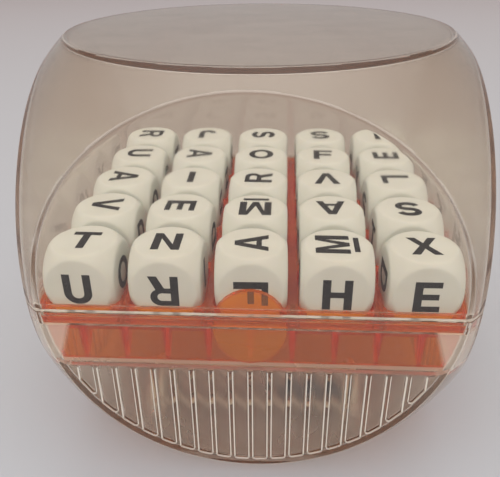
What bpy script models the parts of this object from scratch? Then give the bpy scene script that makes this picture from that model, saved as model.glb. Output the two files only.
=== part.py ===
"""Letter dice word game: a clear die-shaped case, an orange tray of cells, letter dice and a sand timer.

The origin is the centre of the case's underside, +X is right, +Y runs away from the front and +Z is up.
All lengths are in metres.
"""
import math

import bmesh
import bpy
from mathutils import Matrix, Vector

# Clearance between pieces that touch, how deep joined shapes run into each other, and how far cuts run past
SEAT_GAP = 0.0003
EMBED = 0.0005
OVERRUN = 0.001
WELD = 0.000001

# Letter dice, in a square of rows and columns
ROWS = 5
DIE_SIDE = 0.016
DIE_EDGE_MARGIN = 0.0008
DIE_TURN = math.radians(1.2)
DIE_SEGMENTS = 12
DIE_BAND_STEPS = 1

# Tray
CELL_GAP = 0.00045
DIVIDER = 0.0019
CELL_CORNER = 0.002
CELL_CORNER_STEPS = 2
CELL_DEPTH = 0.0047
CELL_SINK = 0.0026
TRAY_WALL = 0.0011
TRAY_FLOOR = 0.0015
SKIRT_DROP = 0.0078
FLANGE = 0.0015
GUSSET = 0.0012
GUSSET_REACH = 0.006
GUSSET_FOOT = 0.0006
GUSSETS_PER_CELL = 2
TAB_WIDTH = 0.017
TAB_RISE = 0.0053
TAB_THICKNESS = 0.0011
TAB_PROUD = 0.00035
TAB_STEPS = 28

# Case
SIDES = 4
WALL = 0.002
EDGE_MARGIN = 0.0035
LIP_PROUD = 0.0002
LIP_REACH = 0.001
RIM = 0.0012
SEAM_DROP = 0.0017
BELT = 0.0037
BEAD_HEIGHT = 0.0012
BEAD_DEPTH = 0.0018
CASE_SEGMENTS = 48
CASE_BAND_STEPS = 2

# Grille on each of the base's four flats
RIBS = 19
RIB_WIDTH = 0.0011
GRILLE_RECESS = 0.0009
GRILLE_SIDE_MARGIN = 0.010
GRILLE_RIM = 0.002

# Sand timer and the cradle that it lies in
TIMER_LENGTH = 0.054
TIMER_SETBACK = 0.023
CAP_RADIUS = 0.0075
CAP_THICKNESS = 0.0022
CAP_CHAMFER = 0.0005
POSTS = 3
POST_RADIUS = 0.0008
POST_INSET = 0.0009
SOCKET_DEPTH = 0.001
POST_CLEARANCE = 0.0004
NECK_RADIUS = 0.0013
GLASS_WALL = 0.0006
BULB_START_SHARE = 0.5
BULB_END_SHARE = 0.72
GLASS_STATIONS = 20
SAND_LEVEL_SHARE = 0.32
CRADLE_FLOOR = 0.0007
CRADLE_WALL = 0.0017
CRADLE_END = 0.0017
CRADLE_FOOT = 0.013
ROUND_STEPS = 20
POST_STEPS = 8

# Sizes that follow
PITCH = DIE_SIDE + 2 * CELL_GAP + DIVIDER
CELL_SIDE = PITCH - DIVIDER
TRAY_HALF = ROWS * PITCH / 2 - DIVIDER / 2 + TRAY_WALL
TRAY_INSET = WALL + LIP_PROUD + SEAT_GAP
FLANGE_INSET = RIM + SEAT_GAP
CASE_HALF = TRAY_HALF + TAB_PROUD + TRAY_INSET
FLAT_RADIUS = CASE_HALF - EDGE_MARGIN
CASE_RADIUS = math.hypot(CASE_HALF, FLAT_RADIUS)
DIE_RADIUS = math.hypot(DIE_SIDE / 2, DIE_SIDE / 2 - DIE_EDGE_MARGIN)
POST_RING = CAP_RADIUS - POST_INSET - POST_RADIUS
BULB_RADIUS = POST_RING - POST_RADIUS - POST_CLEARANCE

# Heights that follow, from the case's middle down
MIDDLE = Vector((0, 0, CASE_HALF))
SEAM_Z = CASE_HALF - SEAM_DROP
SHELF_Z = SEAM_Z - BELT
FLANGE_Z = SHELF_Z + SEAT_GAP
FLANGE_TOP_Z = FLANGE_Z + FLANGE
LIP_FOOT_Z = FLANGE_TOP_Z + SEAT_GAP
CELL_FLOOR_Z = FLANGE_TOP_Z - CELL_SINK
WALL_TOP_Z = CELL_FLOOR_Z + CELL_DEPTH
UNDERSIDE_Z = CELL_FLOOR_Z - TRAY_FLOOR
SKIRT_FOOT_Z = UNDERSIDE_Z - SKIRT_DROP
BEAD_TOP_Z = SKIRT_FOOT_Z - SEAT_GAP
GRILLE_TOP_Z = BEAD_TOP_Z
DIE_Z = CELL_FLOOR_Z + SEAT_GAP + DIE_SIDE / 2
TIMER_AXIS = Vector((0, TIMER_SETBACK - CASE_HALF, WALL + CRADLE_FLOOR + SEAT_GAP + CAP_RADIUS))


def material(name, colour, roughness, transmission=0.0):
    """A plastic or glass finish; the higher the transmission, the clearer it is."""
    finish = bpy.data.materials.new(name)
    finish.use_nodes = True
    shader = finish.node_tree.nodes["Principled BSDF"]
    shader.inputs["Base Color"].default_value = (*colour, 1)
    shader.inputs["Roughness"].default_value = roughness
    shader.inputs["Metallic"].default_value = 0
    shader.inputs["Transmission Weight"].default_value = transmission
    return finish


def add_object(name, bm, finish=None, place=Vector()):
    """Turns a bmesh into an object; without a finish it is a guide that only shapes other objects."""
    bmesh.ops.recalc_face_normals(bm, faces=bm.faces)
    mesh = bpy.data.meshes.new(name)
    bm.to_mesh(mesh)
    bm.free()
    thing = bpy.data.objects.new(name, mesh)
    thing.location = place
    bpy.context.collection.objects.link(thing)
    if finish is None:
        thing.hide_render = True
        thing.display_type = "WIRE"
    else:
        mesh.materials.append(finish)
    return thing


def shape(thing, operation, guide):
    """Adds one Boolean step to an object."""
    step = thing.modifiers.new(guide.name, "BOOLEAN")
    step.operation = operation
    step.solver = "EXACT"
    step.object = guide


def smooth(thing, angle=math.radians(30)):
    """Shades an object smooth, with sharp edges where its faces meet at more than the angle."""
    thing.data.shade_smooth()
    thing.data.set_sharp_from_angle(angle=angle)


def prism(bm, outline, run):
    """Adds a closed prism: the outline's points, carried along the run."""
    base = bm.faces.new([bm.verts.new(point) for point in outline])
    carried = bmesh.ops.extrude_face_region(bm, geom=[base])["geom"]
    moved = [item for item in carried if isinstance(item, bmesh.types.BMVert)]
    bmesh.ops.translate(bm, verts=moved, vec=run)


def block(bm, low, high):
    """Adds a box between two corners."""
    (left, front, foot), (right, back, top) = low, high
    outline = [(left, front, foot), (right, front, foot), (right, back, foot), (left, back, foot)]
    prism(bm, outline, Vector((0, 0, top - foot)))


def block_guide(name, low, high):
    """A box-shaped guide."""
    bm = bmesh.new()
    block(bm, low, high)
    return add_object(name, bm)


def repeat_on_sides(bm):
    """Copies what is on the front side to the other three, round the Z axis."""
    front = bm.verts[:] + bm.edges[:] + bm.faces[:]
    copies = SIDES - 1
    angle = math.tau * copies / SIDES
    bmesh.ops.spin(bm, geom=front, axis=(0, 0, 1), angle=angle, steps=copies, use_duplicate=True)


def die_form(half, radius, segments, bands):
    """A cube rounded by one sphere: each side keeps a round flat, and the rest is the sphere's."""
    bm = bmesh.new()
    flat_angle = math.acos(half / radius)
    for axis in range(3):
        for side in (-1, 1):
            normal = side * Matrix.Identity(3)[axis]
            across = Matrix.Identity(3)[(axis + 1) % 3]
            along = normal.cross(across)
            rings = [[] for _ in range(bands + 1)]
            for k in range(segments):
                turn = math.tau * (k / segments + 1 / 8)
                outward = math.cos(turn) * across + math.sin(turn) * along
                edge_angle = math.atan(1 / max(abs(math.cos(turn)), abs(math.sin(turn))))
                for band, ring in enumerate(rings):
                    angle = flat_angle + (edge_angle - flat_angle) * band / bands
                    ring.append(bm.verts.new(radius * (math.cos(angle) * normal + math.sin(angle) * outward)))
            bm.faces.new(rings[0])
            for inner, outer in zip(rings, rings[1:]):
                for k in range(segments):
                    bm.faces.new((inner[k - 1], outer[k - 1], outer[k], inner[k]))
    bmesh.ops.remove_doubles(bm, verts=bm.verts, dist=WELD)
    return bm


def case_form(inset):
    """The case's form, moved in all over by the inset and centred on the case's middle."""
    bm = die_form(CASE_HALF - inset, CASE_RADIUS - inset, CASE_SEGMENTS, CASE_BAND_STEPS)
    bmesh.ops.translate(bm, verts=bm.verts, vec=MIDDLE)
    return bm


def case_slice(name, inset, low_z, high_z):
    """A guide with the case's form between two heights."""
    reach = CASE_HALF + OVERRUN
    piece = add_object(name, case_form(inset))
    shape(piece, "INTERSECT", block_guide(name + "_span", (-reach, -reach, low_z), (reach, reach, high_z)))
    return piece


def grille_foot(x):
    """The height of the grille's round lower edge at a place across the flat."""
    return CASE_HALF - math.sqrt((FLAT_RADIUS - GRILLE_RIM) ** 2 - x ** 2)


def grille_panels():
    """The sunk panels between the upright ribs of all four grilles, as one guide."""
    bm = bmesh.new()
    span = 2 * (CASE_HALF - GRILLE_SIDE_MARGIN)
    pitch = span / (RIBS - 1)
    front = -CASE_HALF - OVERRUN
    for panel in range(RIBS - 1):
        left = panel * pitch - span / 2 + RIB_WIDTH / 2
        right = left + pitch - RIB_WIDTH
        outline = [
            (left, front, GRILLE_TOP_Z),
            (right, front, GRILLE_TOP_Z),
            (right, front, grille_foot(right)),
            (left, front, grille_foot(left)),
        ]
        prism(bm, outline, Vector((0, OVERRUN + GRILLE_RECESS, 0)))
    repeat_on_sides(bm)
    return add_object("grille_panels", bm)


def cradle_blocks():
    """Two upright end blocks on the base's floor, each hollowed to take one cap of the timer."""
    bm = bmesh.new()
    inner = TIMER_LENGTH / 2 - CAP_THICKNESS - SEAT_GAP
    thickness = TIMER_LENGTH / 2 + SEAT_GAP + CRADLE_END - inner
    top = CAP_RADIUS + SEAT_GAP + CRADLE_WALL
    y, top_z = TIMER_AXIS.y, TIMER_AXIS.z
    for start, side in ((inner, 1), (-inner, -1)):
        outline = [
            (start, y - CRADLE_FOOT / 2, WALL - EMBED),
            (start, y + CRADLE_FOOT / 2, WALL - EMBED),
            (start, y + top, top_z),
            (start, y - top, top_z),
        ]
        prism(bm, outline, Vector((side * thickness, 0, 0)))
    blocks = add_object("cradle_blocks", bm)
    pocket = bmesh.new()
    bar(pocket, Vector(), TIMER_LENGTH + 2 * SEAT_GAP, CAP_RADIUS + SEAT_GAP, ROUND_STEPS)
    shape(blocks, "DIFFERENCE", add_object("cradle_pocket", pocket, place=TIMER_AXIS))
    return blocks


def turned_rings(bm, profile, steps, centre=Vector(), closed=False):
    """Turns a profile of (along, radius) points round an axis along X and returns its rings."""
    rings = []
    for along, radius in profile:
        ring = []
        for k in range(steps):
            angle = math.tau * k / steps
            point = Vector((along, radius * math.sin(angle), radius * math.cos(angle)))
            ring.append(bm.verts.new(centre + point))
        rings.append(ring)
    pairs = list(zip(rings, rings[1:]))
    if closed:
        pairs.append((rings[-1], rings[0]))
    for first, second in pairs:
        for k in range(steps):
            bm.faces.new((first[k - 1], first[k], second[k], second[k - 1]))
    return rings


def bar(bm, centre, length, radius, steps, chamfer=0):
    """Adds a round bar along X, with its rims chamfered where a chamfer is given."""
    half = length / 2
    profile = [(-half, radius - chamfer), (half, radius - chamfer)]
    if chamfer:
        profile[1:1] = [(chamfer - half, radius), (half - chamfer, radius)]
    rings = turned_rings(bm, profile, steps, centre)
    bm.faces.new(rings[0])
    bm.faces.new(rings[-1])


def base_shell(finish):
    """The lower half of the case: rim and shelf, inner bead, grilles and the timer's cradle."""
    reach = CASE_HALF + OVERRUN
    shell = add_object("base_shell", case_form(0), finish)
    above = block_guide("above_seam", (-reach, -reach, SEAM_Z), (reach, reach, 2 * reach))
    shape(shell, "DIFFERENCE", add_object("base_hollow", case_form(WALL)))
    shape(shell, "DIFFERENCE", above)
    shape(shell, "DIFFERENCE", case_slice("rim_hollow", RIM, SHELF_Z, SEAM_Z + OVERRUN))
    bead = case_slice("bead_ring", WALL - EMBED, BEAD_TOP_Z - BEAD_HEIGHT, BEAD_TOP_Z)
    shape(bead, "DIFFERENCE", add_object("bead_bore", case_form(WALL + BEAD_DEPTH)))
    shape(shell, "UNION", bead)
    shape(shell, "UNION", cradle_blocks())
    shape(shell, "DIFFERENCE", grille_panels())
    smooth(shell)


def dome_lid(finish):
    """The upper half of the case, with the lip that drops inside the base's rim."""
    reach = CASE_HALF + OVERRUN
    lid = add_object("dome_lid", case_form(0), finish)
    below = block_guide("below_seam", (-reach, -reach, -OVERRUN), (reach, reach, SEAM_Z + SEAT_GAP))
    shape(lid, "DIFFERENCE", add_object("dome_hollow", case_form(WALL)))
    shape(lid, "DIFFERENCE", below)
    lip = case_slice("dome_lip", FLANGE_INSET, LIP_FOOT_Z, SEAM_Z + SEAT_GAP + LIP_REACH)
    shape(lip, "DIFFERENCE", add_object("lip_bore", case_form(WALL + LIP_PROUD)))
    shape(lid, "UNION", lip)
    smooth(lid)


def cell_places():
    """Row, column and centre of each cell, from the front left."""
    for row in range(ROWS):
        for column in range(ROWS):
            yield row, column, (column - (ROWS - 1) / 2) * PITCH, (row - (ROWS - 1) / 2) * PITCH


def rounded_square(x, y, z):
    """The outline of one cell: a square with rounded corners."""
    points = []
    reach = CELL_SIDE / 2 - CELL_CORNER
    for corner, (side_x, side_y) in enumerate(((1, 1), (-1, 1), (-1, -1), (1, -1))):
        for step in range(CELL_CORNER_STEPS + 1):
            angle = math.tau / 4 * (corner + step / CELL_CORNER_STEPS)
            across = side_x * reach + CELL_CORNER * math.cos(angle)
            along = side_y * reach + CELL_CORNER * math.sin(angle)
            points.append((x + across, y + along, z))
    return points


def cells():
    """All the cells' hollows as one guide."""
    bm = bmesh.new()
    for _, _, x, y in cell_places():
        prism(bm, rounded_square(x, y, CELL_FLOOR_Z), Vector((0, 0, CELL_DEPTH + OVERRUN)))
    return add_object("cells", bm)


def gussets():
    """The triangular plates that brace the skirt from inside, as one guide."""
    bm = bmesh.new()
    inner = TRAY_WALL - TRAY_HALF
    pitch = PITCH / GUSSETS_PER_CELL
    last = (ROWS - 1) * GUSSETS_PER_CELL // 2
    for place in range(-last, last + 1):
        left = place * pitch - GUSSET / 2
        outline = [
            (left, inner - EMBED, UNDERSIDE_Z + EMBED),
            (left, inner + GUSSET_REACH, UNDERSIDE_Z + EMBED),
            (left, inner + GUSSET_REACH, UNDERSIDE_Z),
            (left, inner, SKIRT_FOOT_Z + GUSSET_FOOT),
            (left, inner - EMBED, SKIRT_FOOT_Z + GUSSET_FOOT),
        ]
        prism(bm, outline, Vector((GUSSET, 0, 0)))
    repeat_on_sides(bm)
    return add_object("gussets", bm)


def finger_tab():
    """The oval tab on the tray's front, from the skirt's foot to above the wall."""
    bm = bmesh.new()
    half_height = (WALL_TOP_Z + TAB_RISE - SKIRT_FOOT_Z) / 2
    front = -TRAY_HALF - TAB_PROUD
    outline = []
    for step in range(TAB_STEPS):
        angle = math.tau * step / TAB_STEPS
        height = SKIRT_FOOT_Z + half_height * (1 + math.sin(angle))
        outline.append((TAB_WIDTH / 2 * math.cos(angle), front, height))
    prism(bm, outline, Vector((0, TAB_THICKNESS, 0)))
    return add_object("finger_tab", bm)


def letter_tray(finish):
    """The tray: square cells over a braced skirt, a flange all round and a finger tab in front."""
    bm = bmesh.new()
    block(bm, (-TRAY_HALF, -TRAY_HALF, SKIRT_FOOT_Z), (TRAY_HALF, TRAY_HALF, WALL_TOP_Z))
    tray = add_object("letter_tray", bm, finish)
    shape(tray, "INTERSECT", add_object("tray_form", case_form(TRAY_INSET)))
    shape(tray, "UNION", case_slice("tray_flange", FLANGE_INSET, FLANGE_Z, FLANGE_TOP_Z))
    shape(tray, "UNION", finger_tab())
    inside = TRAY_HALF - TRAY_WALL
    open_z = SKIRT_FOOT_Z - OVERRUN
    hollow = block_guide("tray_hollow", (-inside, -inside, open_z), (inside, inside, UNDERSIDE_Z))
    shape(hollow, "INTERSECT", add_object("hollow_form", case_form(TRAY_INSET + TRAY_WALL)))
    shape(hollow, "DIFFERENCE", gussets())
    shape(tray, "DIFFERENCE", hollow)
    shape(tray, "DIFFERENCE", cells())


def letter_dice(finish):
    """One die to a cell, each lying a little turned in its clearance."""
    bm = die_form(DIE_SIDE / 2, DIE_RADIUS, DIE_SEGMENTS, DIE_BAND_STEPS)
    first = None
    for row, column, x, y in cell_places():
        name = f"die_r{row + 1}c{column + 1}"
        if first is None:
            first = add_object(name, bm, finish)
            smooth(first)
            die = first
        else:
            die = bpy.data.objects.new(name, first.data)
            bpy.context.collection.objects.link(die)
        die.location = (x, y, DIE_Z)
        die.rotation_euler.z = DIE_TURN * ((3 * row + 2 * column) % ROWS / (ROWS - 1) * 2 - 1)


def glass_radius(x, half):
    """The timer glass's outer radius at a place along it: a waist between two bulbs."""
    share = abs(x) / half
    if share < BULB_START_SHARE:
        swell = (1 - math.cos(math.pi * share / BULB_START_SHARE)) / 2
        return NECK_RADIUS + (BULB_RADIUS - NECK_RADIUS) * swell
    fall = (share - BULB_START_SHARE) / (1 - BULB_START_SHARE)
    return BULB_RADIUS * (1 - (1 - BULB_END_SHARE) * fall ** 2)


def glass_profile(half, inset):
    """Points (along, radius) of the glass's outline from end to end, moved in by the inset."""
    places = [half * (2 * k / GLASS_STATIONS - 1) for k in range(GLASS_STATIONS + 1)]
    return [(x, glass_radius(x, half) - inset) for x in places]


def post_bars(name, start, end, radius):
    """The timer's posts, or the sockets for them, as one guide of round bars side by side."""
    bm = bmesh.new()
    for k in range(POSTS):
        angle = math.tau * k / POSTS
        centre = Vector(((start + end) / 2, POST_RING * math.sin(angle), POST_RING * math.cos(angle)))
        bar(bm, centre, end - start, radius, POST_STEPS)
    return add_object(name, bm, place=TIMER_AXIS)


def timer_cap(name, centre_x, finish):
    """One round end cap of the timer, with chamfered rims."""
    bm = bmesh.new()
    bar(bm, Vector((centre_x, 0, 0)), CAP_THICKNESS, CAP_RADIUS, ROUND_STEPS, CAP_CHAMFER)
    return add_object(name, bm, finish, TIMER_AXIS)


def timer(cap_finish, glass_finish, sand_finish):
    """The sand timer, lying along X: a frame of cap and posts, a second cap, the glass and its sand."""
    inner = TIMER_LENGTH / 2 - CAP_THICKNESS
    cap_x = inner + CAP_THICKNESS / 2
    socket_end = inner + SOCKET_DEPTH

    frame = timer_cap("timer_frame", -cap_x, cap_finish)
    shape(frame, "UNION", post_bars("timer_posts", -inner - EMBED, socket_end - SEAT_GAP, POST_RADIUS))
    smooth(frame)
    cap = timer_cap("timer_end_cap", cap_x, cap_finish)
    shape(cap, "DIFFERENCE", post_bars("post_sockets", inner - OVERRUN, socket_end, POST_RADIUS + SEAT_GAP))
    smooth(cap)

    half = inner - SEAT_GAP
    bm = bmesh.new()
    outline = glass_profile(half, 0) + glass_profile(half, GLASS_WALL)[::-1]
    turned_rings(bm, outline, ROUND_STEPS, closed=True)
    glass = add_object("timer_glass", bm, glass_finish, TIMER_AXIS)
    smooth(glass)

    bm = bmesh.new()
    bulb = [(x, radius) for x, radius in glass_profile(half, GLASS_WALL + SEAT_GAP) if x > 0]
    rings = turned_rings(bm, bulb, ROUND_STEPS)
    bm.faces.new(rings[0])
    bm.faces.new(rings[-1])
    sand = add_object("timer_sand", bm, sand_finish, TIMER_AXIS)
    low = TIMER_AXIS - Vector((0, CAP_RADIUS, CAP_RADIUS))
    level = SAND_LEVEL_SHARE * (BULB_RADIUS - GLASS_WALL)
    high = TIMER_AXIS + Vector((half + OVERRUN, CAP_RADIUS, -level))
    shape(sand, "INTERSECT", block_guide("sand_level", low, high))


def main():
    for thing in list(bpy.data.objects):
        bpy.data.objects.remove(thing)
    smoky = material("smoky_clear", (0.62, 0.53, 0.45), 0.08, 0.9)
    orange = material("orange_clear", (0.90, 0.16, 0.03), 0.15, 0.6)
    ivory = material("ivory", (0.86, 0.84, 0.77), 0.35)
    dark = material("timer_plastic", (0.10, 0.07, 0.05), 0.4)
    glass = material("timer_glass", (0.90, 0.92, 0.92), 0.03, 1.0)
    sand = material("timer_sand", (0.72, 0.60, 0.42), 0.9)
    base_shell(smoky)
    dome_lid(smoky)
    letter_tray(orange)
    letter_dice(ivory)
    timer(dark, glass, sand)


main()
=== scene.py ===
import math
import random

import bmesh
import bpy
from mathutils import Matrix, Vector


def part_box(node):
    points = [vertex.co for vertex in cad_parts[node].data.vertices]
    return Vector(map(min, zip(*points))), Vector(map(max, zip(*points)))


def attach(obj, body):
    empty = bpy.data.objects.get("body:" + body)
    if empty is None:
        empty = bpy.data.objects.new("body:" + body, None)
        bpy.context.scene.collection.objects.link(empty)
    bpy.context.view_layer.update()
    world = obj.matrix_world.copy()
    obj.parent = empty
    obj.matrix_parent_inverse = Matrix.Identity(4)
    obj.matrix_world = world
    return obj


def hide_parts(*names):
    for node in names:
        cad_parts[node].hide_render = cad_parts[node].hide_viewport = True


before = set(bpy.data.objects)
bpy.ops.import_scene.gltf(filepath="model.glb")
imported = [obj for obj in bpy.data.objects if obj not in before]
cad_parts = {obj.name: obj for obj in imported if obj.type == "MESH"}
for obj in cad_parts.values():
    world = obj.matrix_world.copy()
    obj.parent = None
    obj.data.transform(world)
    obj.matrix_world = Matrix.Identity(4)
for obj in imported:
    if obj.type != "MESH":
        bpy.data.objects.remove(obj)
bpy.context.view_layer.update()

# Sizes of the case, in metres, read from the frame where it holds them
case_low, case_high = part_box("base_shell")
dome_low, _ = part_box("dome_lid")
tray_low, tray_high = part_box("letter_tray")
die_low, die_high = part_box("die_r3c3")
CASE_HALF = (case_high.x - case_low.x) / 2
MIDDLE = Vector((0, 0, CASE_HALF))
EDGE_MARGIN = 0.0035
CASE_RADIUS = math.hypot(CASE_HALF, CASE_HALF - EDGE_MARGIN)
WALL = 0.002
SEAT_GAP = 0.0003

# Seam: the base's rim, the shelf under it, the bead below the tray's skirt, and the lip in the dome's foot
SEAM_Z = case_high.z
RIM = 0.0012
BELT = 0.0037
SHELF_Z = SEAM_Z - BELT
SKIRT_FOOT_Z = tray_low.z
BEAD_TOP_Z = SKIRT_FOOT_Z - SEAT_GAP
BEAD_HEIGHT = 0.0012
BEAD_DEPTH = 0.0018
LIP_FOOT_Z = dome_low.z
LIP_PROUD = 0.0002
LIP_REACH = 0.001

# Grille on the base's four flats: ribs, and the panels sunk between them
RIBS = 19
RIB_WIDTH = 0.0013
GRILLE_RECESS = 0.0009
GRILLE_SIDE_MARGIN = 0.010
GRILLE_RIM = 0.002
PANEL_CORNER = 0.0005
PANEL_LIP = 0.0003
PANEL_FILLET = 0.0002
PANEL_TOP_DROP = 0.0006
QUARTER_STEPS = 3

# Timer's cradle on the base's floor, drawn a hair clear of it
CRADLE_FOOT = 0.013
CRADLE_WALL = 0.0017
CRADLE_CLEAR = 0.00002
CRADLE_STEPS = 24

# Dice: how many stand in a row and in a column, their side, the margin between a round flat and the cube's
# edge, and the most that one is turned
ROWS = 5
DIE_SIDE = die_high.z - die_low.z
DIE_FLAT_MARGIN = 0.0008
DIE_RADIUS = math.hypot(DIE_SIDE / 2, DIE_SIDE / 2 - DIE_FLAT_MARGIN)
DIE_TURN = math.radians(1.2)

# Tray: its cells, its flange, the finger tab on its front, and how far its edges are rounded
CELL_PITCH = 0.0188
FLANGE_Z = SHELF_Z + SEAT_GAP
FLANGE_THICKNESS = 0.0015
TAB_HALF_WIDTH = 0.0085
TAB_THICKNESS = 0.0011
TRAY_SOFTNESS = 0.00012
SOFT_EDGE_ANGLE = math.radians(40)

# Letters: capital height, how far they stand off the flat and reach into it, and strokes and gaps as shares
# of the height
CAPITAL = 0.0075
INK_PROUD = 0.00003
INK_SUNK = 0.00003
STEM_SHARE = 0.235
BAR_SHARE = 0.19
UNDERLINE_SHARE = 0.16
UNDERLINE_GAP_SHARE = 0.12
UNDERLINE_INSET_SHARE = 0.1
ARC_STEPS = 10

# How finely the case and the dice are drawn, and how much is taken off their edges
CASE_SEGMENTS = 240
CASE_BANDS = 14
CASE_EDGE_CUT = 0.0001
DIE_SEGMENTS = 48
DIE_BANDS = 6
DIE_EDGE_CUT = 0.00012
SMOOTH_ANGLE = math.radians(35)
WELD = 0.000001

# Rings of the die form: those just inside a flat, in widths of its soft edge, and how the bands beyond widen
FLAT_RINGS = (4, 2.6, 1.5, 0.7)
BAND_GROWTH = 1.7

# A face with more corners than this is one of the case's round flats
FEW_CORNERS = 8

# Roughness that the clear plastic has on top of its own: inside its round zones and its flats, on the faces
# of its seam, and in the grille's panels
ROUND_HAZE = 0.2
FLAT_HAZE = 0.01
SEAM_HAZE = 0.22
PANEL_HAZE = 0.22

# How pale the case is painted, from 0 to 1: a painted highlight along its edges, plain paleness on the dome's
# foot and the bead, a painted highlight along the ribs and at the foot of the panels, and plain paleness on
# the floor of the panels and on the cradle
DOME_EDGE_PAINTED_HIGHLIGHT = 0.3
BASE_EDGE_PAINTED_HIGHLIGHT = 0.5
DOME_FOOT_PALENESS = 0.35
BEAD_PALENESS = 0.4
RIB_PAINTED_HIGHLIGHT = 1
PANEL_FOOT_PAINTED_HIGHLIGHT = 0.55
PANEL_FLOOR_PALENESS = 0.07
CRADLE_PALENESS = 0.35

# Faces of the case that count as its edges: the greatest part of their normal, and how far it may be off
EDGE_NORMAL = 0.9
EDGE_NORMAL_BAND = 0.08

# Corners inside the base, beside the skirt, painted pale and milky as painted light where bright corners show
# through:
# how pale, how far out they start at the bead and at the shelf, and how far they take to fade in
CORNER_PAINTED_LIGHT = 0.62
CORNER_STARTS = (0.0428, 0.0395)
CORNER_FADE = 0.0014

# Heights between which the painted shade at the case's foot fades out, from its foot up
FOOT_SHADE_FADE = (0.001, 0.016)

# Gussets behind the tray's skirt: their pitch, half of how broad they look at the foot and under the flange,
# and their blur
GUSSET_PITCH = CELL_PITCH / 2
GUSSET_HALF_WIDTHS = (0.0004, 0.0012)
GUSSET_BLUR = 0.0001

# Strips of the tray's outer wall in front of each die, painted bright amber as painted light from the white
# dice behind the thin wall, and how far they take to fade out
STRIP_HALF_WIDTH = 0.0072
STRIP_FADE = 0.0008

# Finger tab, in squared shares of its half sizes: where it fades out, and where its outline fades in
TAB_FADE = (0.96, 1)
TAB_OUTLINE_FADE = (0.90, 0.94)

# How far the tab's upper part is cleared of its milkiness, and the tray's transmission at its clearest and
# its milkiest
TAB_CLEARING = 1.4
TRAY_CLARITY = (0.93, 0.68)

# Refraction of the clear materials, and the case's transmission where it is painted wholly pale
PLASTIC_IOR = 1.5
GLASS_IOR = 1.47
PALEST_CLARITY = 0.2

# The two tones that each material wanders between
TONES = {
    "smoky_clear": ((0.875, 0.795, 0.71), (0.90, 0.83, 0.745)),
    "orange_clear": ((0.985, 0.38, 0.06), (0.995, 0.43, 0.09)),
    "ivory": ((0.755, 0.80, 0.755), (0.80, 0.85, 0.81)),
    "ink": ((0.008, 0.007, 0.011), (0.07, 0.065, 0.07)),
    "cream_plastic": ((0.52, 0.47, 0.37), (0.60, 0.55, 0.44)),
    "clear_glass": ((0.95, 0.965, 0.955), (0.98, 0.985, 0.98)),
    "fine_sand": ((0.02, 0.03, 0.05), (0.09, 0.115, 0.16)),
}

# Tones of single places on the case and on the tray
# Painted shade: the case's deeper tone at its foot
FOOT_SHADE_TONE = (0.76, 0.68, 0.60)
# Pale tone of the painted highlights, the painted light at the corners and the plain paleness
PAINTED_LIGHT_AND_PALE_TONE = (0.94, 0.89, 0.79)
GUSSET_TONE = (0.955, 0.19, 0.03)
# Painted light: the bright amber where the white dice light the thin wall from behind
STRIP_PAINTED_LIGHT_TONE = (0.99, 0.50, 0.01)
FLANGE_TONE = (0.88, 0.38, 0.07)
TAB_LOW_TONE = (0.99, 0.38, 0.02)
# Painted light: the tab's brighter amber above the flange, lit from the die behind it
TAB_HIGH_PAINTED_LIGHT_TONE = (0.985, 0.52, 0.005)
TAB_OUTLINE_TONE = (0.93, 0.22, 0.02)

# Sky, by the Z and the Y of the direction looked in: its colours from the horizon up, and its strength from
# behind the camera to behind the object
SKY_HEIGHTS = (0.0, 0.5, 0.8, 0.95)
SKY_TONES = ((0.40, 0.39, 0.395), (0.42, 0.385, 0.365), (0.85, 0.84, 0.83), (1.2, 1.19, 1.18))
SKY_SPAN = (-1, 0.6)
SKY_STRENGTHS = (1.85, 1.06)

# Floor: half its side, and its tones from the front of the object into the distance, where painted shade
# darkens it
FLOOR_HALF = 3
FLOOR_SPAN = (-0.1, 1.1)
FLOOR_STOPS = (0, 0.1, 1)
FLOOR_TONES = ((0.49, 0.505, 0.53), (0.46, 0.46, 0.475), (0.36, 0.31, 0.31))
FLOOR_GRAIN_TONE = (0.30, 0.29, 0.29)

# Lamps: name, place, size and power
LAMPS = (
    ("key", (-0.4, -0.5, 0.9), 0.7, 1.65),
    ("front", (-0.5, -0.85, 0.42), 0.7, 0.65),
    ("fill", (0.8, -0.3, 0.6), 0.8, 0.8),
    ("back", (0.1, 0.9, 0.8), 0.8, 1.1),
)

# How often light bounces in the clear walls, and how many of them a shadow passes
CLEAR_BOUNCES = 64
SHADOW_PASSES = 32

# The photograph's viewpoint, found by fitting the case's outline and the rows of dice: angles in degrees, the
# camera's place, its lens and sensor in millimetres, and how near it sees
TILT = 28.35
YAW = -3.41
ROLL = -0.59
EYE = (0.00636, -0.15097, 0.12204)
LENS = 41.93
SENSOR_WIDTH = 36
NEAREST = 0.005

# For each die, front row first and left to right: the letter on top and its quarter turns counter-clockwise,
# then the same for the front faces of the front row, and the letters of all other faces. An "m" is an
# underlined M
TOP_LETTERS = (
    ("T0", "N0", "A1", "m1", "X0"),
    ("V3", "E3", "m2", "A2", "S0"),
    ("A3", "I0", "R1", "V2", "L3"),
    ("U3", "A3", "O0", "F0", "E1"),
    ("R3", "J2", "S1", "S0", "I0"),
)
FRONT_LETTERS = ("U0", "R2", "F3", "H0", "E0")
OTHER_LETTERS = "AEINORSTUDLHVPMJFX"
LETTER_SEED = 7


def node_material(name):
    """A new node material, its tree and its Principled shader."""
    material = bpy.data.materials.new(name)
    material.use_nodes = True
    tree = material.node_tree
    return material, tree, tree.nodes["Principled BSDF"]


def point_place(tree, space="Object"):
    """The X, Y and Z of a point in one of Blender's spaces for textures."""
    place = tree.nodes.new("ShaderNodeTexCoord")
    parts = tree.nodes.new("ShaderNodeSeparateXYZ")
    tree.links.new(place.outputs[space], parts.inputs["Vector"])
    return [parts.outputs[axis] for axis in "XYZ"]


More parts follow.
